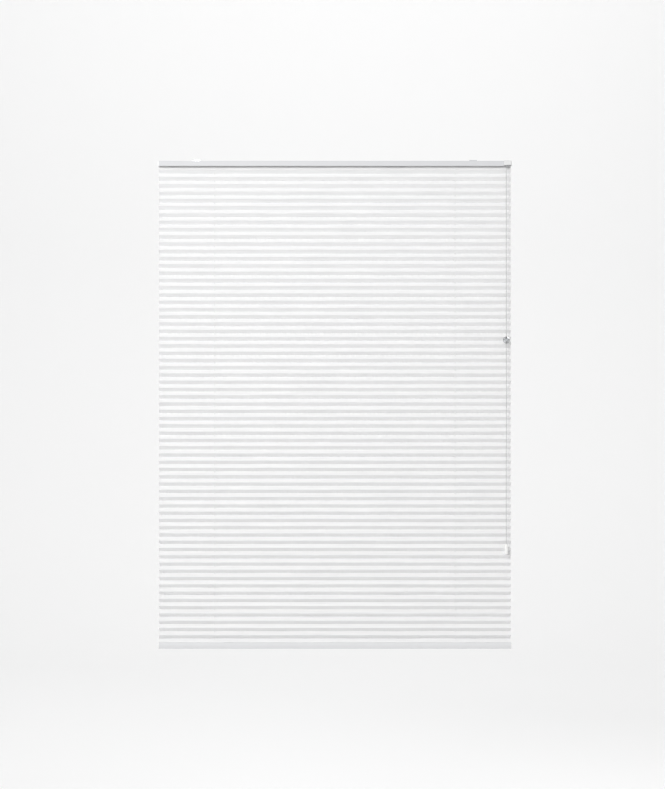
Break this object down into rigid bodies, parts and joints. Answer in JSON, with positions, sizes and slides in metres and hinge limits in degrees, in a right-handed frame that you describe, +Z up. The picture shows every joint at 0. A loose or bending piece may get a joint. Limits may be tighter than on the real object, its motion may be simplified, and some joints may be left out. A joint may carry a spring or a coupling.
{
  "type": "pleated blind",
  "caption": "Corded pleated window blind: folded white cloth between a slim headrail and bottom rail, with a cord lock, break-apart cord connector and tassel.",
  "frame": {"origin": "midway between the ceiling screws, on the top faces of the mounting brackets", "axes": "+X along the blind towards the pull-cord end, -Y towards the room, +Z up"},
  "size_m": [0.972, 0.0477, 1.3432],
  "materials": {
    "rail_paint": "white powder coat, satin",
    "cap_plastic": "white moulded, satin",
    "strip_plastic": "extruded, plain",
    "cloth": "pleated woven polyester, heat set",
    "cord": "braided polyester",
    "bracket_steel": "zinc plated",
    "pin_steel": "drawn",
    "latch_plastic": "moulded nylon",
    "guide_plastic": "moulded nylon",
    "pulley_plastic": "acetal",
    "lock_plastic": "white moulded, gloss",
    "pawl_plastic": "dark moulded nylon",
    "connector_clear": "clear moulded, gloss",
    "tassel_plastic": "white moulded, gloss"
  },
  "bodies": {
    "headrail_assembly": {"headrail": "rail_paint", "headrail_end_cap_left": "cap_plastic", "headrail_end_cap_right": "cap_plastic", "headrail_fabric_strip": "strip_plastic", "pleated_fabric": "cloth", "mounting_bracket_left": "bracket_steel", "mounting_bracket_right": "bracket_steel", "bracket_rivet_left": "pin_steel", "bracket_rivet_right": "pin_steel", "cord_guide_left": "guide_plastic", "cord_guide_right": "guide_plastic", "guide_pin_left": "pin_steel", "guide_pin_right": "pin_steel", "lift_cord_drop_left": "cord", "lift_cord_drop_right": "cord", "lift_cord_run_left": "cord", "lift_cord_run_right": "cord", "pull_cord_left": "cord", "pull_cord_right": "cord", "cord_lock_housing": "lock_plastic", "cord_lock_pins": "pin_steel"},
    "bottom_rail_assembly": {"bottom_rail": "rail_paint", "bottom_rail_end_cap_left": "cap_plastic", "bottom_rail_end_cap_right": "cap_plastic", "bottom_fabric_strip": "strip_plastic", "bottom_eyelet_left": "guide_plastic", "bottom_eyelet_right": "guide_plastic", "lift_cord_knot_left": "cord", "lift_cord_knot_right": "cord"},
    "connector_top": {"connector_upper_half": "connector_clear", "connector_upper_knot": "cord"},
    "connector_tail": {"connector_lower_half": "connector_clear", "connector_lower_knot": "cord", "tail_cord": "cord", "tassel": "tassel_plastic", "tassel_knot": "cord"},
    "pulley_left": {"guide_pulley_left": "pulley_plastic"},
    "pulley_right": {"guide_pulley_right": "pulley_plastic"},
    "lock_roller": {"cord_lock_roller": "pin_steel"},
    "lock_pawl": {"cord_lock_pawl": "pawl_plastic"},
    "latch_left": {"bracket_latch_left": "latch_plastic"},
    "latch_right": {"bracket_latch_right": "latch_plastic"}
  },
  "joints": [
    {"name": "bottom_rail_lift", "type": "slide", "parent": "headrail_assembly", "child": "bottom_rail_assembly", "axis": [0, 0, 1], "range_m": [0, 1.2577], "deforming": ["pleated_fabric", "lift_cord_drop_left", "lift_cord_drop_right"]},
    {"name": "pull_cord_draw", "type": "slide", "parent": "headrail_assembly", "child": "connector_top", "axis": [0, 0, -1], "range_m": [0, 1.2577], "deforming": ["pull_cord_left", "pull_cord_right"]},
    {"name": "connector_release", "type": "slide", "parent": "connector_top", "child": "connector_tail", "axis": [0, 0, -1], "range_m": [0, 0.03]},
    {"name": "guide_pulley_left_turn", "type": "hinge", "parent": "headrail_assembly", "child": "pulley_left", "pos_m": [-0.32815, 0.004, -0.0088], "axis": [0, 1, 0], "continuous": true},
    {"name": "guide_pulley_right_turn", "type": "hinge", "parent": "headrail_assembly", "child": "pulley_right", "pos_m": [0.33385, 0.004, -0.0088], "axis": [0, 1, 0], "continuous": true},
    {"name": "lock_roller_turn", "type": "hinge", "parent": "headrail_assembly", "child": "lock_roller", "pos_m": [0.474, -0.018, -0.01015], "axis": [1, 0, 0], "continuous": true},
    {"name": "lock_pawl_swing", "type": "hinge", "parent": "headrail_assembly", "child": "lock_pawl", "pos_m": [0.474, -0.0255, -0.0072], "axis": [1, 0, 0], "range_deg": [0, 20]},
    {"name": "bracket_latch_left_turn", "type": "hinge", "parent": "headrail_assembly", "child": "latch_left", "pos_m": [-0.38, 0.0064, -0.003], "axis": [0, 0, 1], "range_deg": [0, 90]},
    {"name": "bracket_latch_right_turn", "type": "hinge", "parent": "headrail_assembly", "child": "latch_right", "pos_m": [0.38, 0.0064, -0.003], "axis": [0, 0, 1], "range_deg": [0, 90]}
  ],
  "couplings": [
    {"joint": "pull_cord_draw", "follows": "bottom_rail_lift", "ratio": 1},
    {"joint": "guide_pulley_left_turn", "follows": "bottom_rail_lift", "rad_per_m": 350.88},
    {"joint": "guide_pulley_right_turn", "follows": "bottom_rail_lift", "rad_per_m": 350.88},
    {"joint": "lock_roller_turn", "follows": "bottom_rail_lift", "rad_per_m": 238.09}
  ]
}
